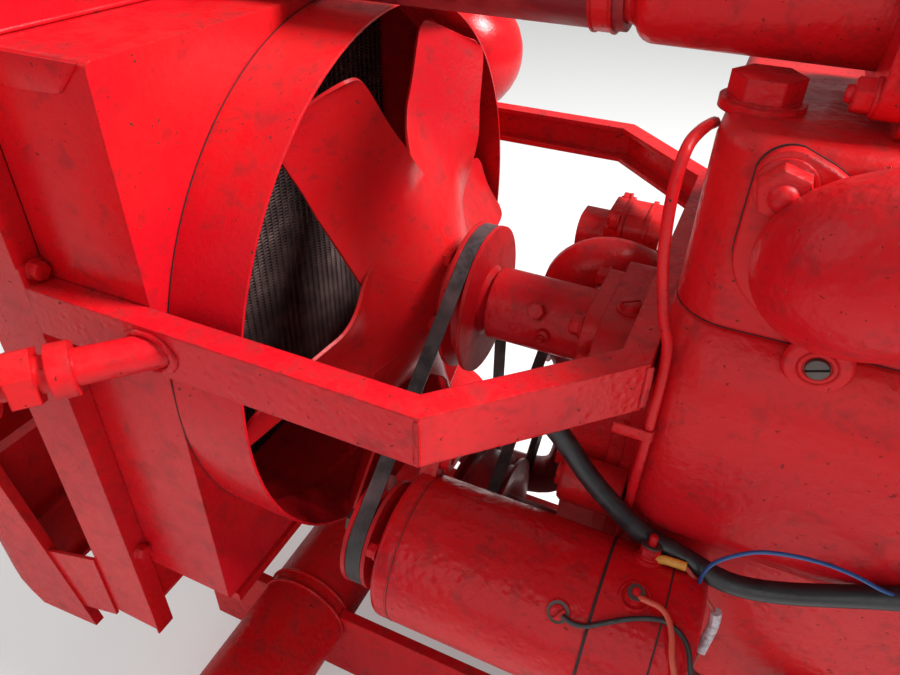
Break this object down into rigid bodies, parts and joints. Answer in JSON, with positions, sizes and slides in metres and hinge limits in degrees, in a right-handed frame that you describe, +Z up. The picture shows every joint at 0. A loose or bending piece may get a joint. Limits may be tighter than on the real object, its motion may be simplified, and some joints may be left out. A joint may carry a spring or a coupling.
{
  "type": "tractor engine with radiator, belt-driven fan and dynamo",
  "caption": "Front end of a vintage tractor's engine: diesel block, belt-driven fan in a sheet-metal cowl, radiator, dynamo, stay frame and headlamps on arms.",
  "frame": {"origin": "centre of the rear flange of the flywheel housing, on the crankshaft's axis", "axes": "+X forward along the crankshaft to the radiator, +Y to the left, +Z up"},
  "size_m": [1.006, 0.908, 0.764],
  "materials": {
    "cast_red": "thick glossy red paint over rough castings, dusty in the hollows",
    "sheet_red": "glossy red paint on sheet metal with chips and dust",
    "stay_red": "glossy red paint over rusty, pitted steel",
    "dynamo_red": "thick glossy red paint with runs",
    "lamp_red": "smooth glossy red paint",
    "fan_red": "satin red paint, dusty",
    "pulley_worn": "red paint worn to bare metal in the grooves",
    "core_dark": "dull dark brown, dusty fins",
    "cap_metal": "dulled bright metal",
    "bare_iron": "bare machined iron with a light film of rust",
    "lamp_glass": "clear fluted lamp glass",
    "hose_rubber": "rubber hose painted over dark red",
    "belt_rubber": "worn grey-black belt rubber",
    "cable_black": "black cable sleeve, slightly glossy"
  },
  "bodies": {
    "root": {"flywheel_housing": "cast_red", "engine_block": "cast_red", "cylinder_head": "cast_red", "rocker_cover": "sheet_red", "sump": "cast_red", "front_plate": "cast_red", "timing_cover": "cast_red", "water_outlet": "cast_red", "top_hose": "hose_rubber", "intake_manifold": "cast_red", "exhaust_manifold": "cast_red", "fan_housing": "cast_red", "water_inlet": "cast_red", "bottom_hose": "hose_rubber", "side_pump": "cast_red", "dynamo_front_end": "dynamo_red", "dynamo_yoke": "dynamo_red", "dynamo_rear_end": "dynamo_red", "dynamo_bracket": "cast_red", "adjusting_strap": "sheet_red", "stay_frame": "stay_red", "fan_cowl": "sheet_red", "cowl_ring": "sheet_red", "radiator_core": "core_dark", "top_tank": "sheet_red", "bottom_tank": "sheet_red", "side_channel_left": "sheet_red", "side_channel_right": "sheet_red", "filler_cap": "cap_metal", "radiator_support": "sheet_red", "nose_sheet_left": "sheet_red", "nose_sheet_right": "sheet_red", "nose_cross_sheet": "sheet_red", "cross_tube": "stay_red", "frame_rail_left": "stay_red", "frame_rail_right": "stay_red", "lamp_arm_left": "stay_red", "lamp_arm_right": "stay_red", "lamp_shell_left": "lamp_red", "lamp_shell_right": "lamp_red", "lamp_glass_left": "lamp_glass", "lamp_glass_right": "lamp_glass", "fuel_pipe": "stay_red", "wiring_loom": "cable_black", "fan_belt": "belt_rubber", "pump_belt": "belt_rubber"},
    "crank": {"crank_pulley": "pulley_worn", "flywheel": "bare_iron"},
    "fan": {"fan_blades": "fan_red", "fan_pulley": "fan_red"},
    "dynamo_rotor": {"dynamo_pulley": "fan_red"},
    "pump_rotor": {"pump_pulley": "fan_red"}
  },
  "joints": [
    {"name": "crank_spin", "type": "hinge", "parent": "root", "child": "crank", "pos_m": [0.59, 0, 0], "axis": [1, 0, 0], "continuous": true},
    {"name": "fan_spin", "type": "hinge", "parent": "root", "child": "fan", "pos_m": [0.59, 0, 0.262], "axis": [1, 0, 0], "continuous": true},
    {"name": "dynamo_spin", "type": "hinge", "parent": "root", "child": "dynamo_rotor", "pos_m": [0.59, 0.168, 0.164], "axis": [1, 0, 0], "continuous": true},
    {"name": "pump_spin", "type": "hinge", "parent": "root", "child": "pump_rotor", "pos_m": [0.558, -0.178, 0.142], "axis": [1, 0, 0], "continuous": true}
  ],
  "couplings": [
    {"joint": "fan_spin", "follows": "crank_spin", "ratio": 1.2385},
    {"joint": "dynamo_spin", "follows": "crank_spin", "ratio": 1.9853},
    {"joint": "pump_spin", "follows": "crank_spin", "ratio": 1.4835}
  ]
}
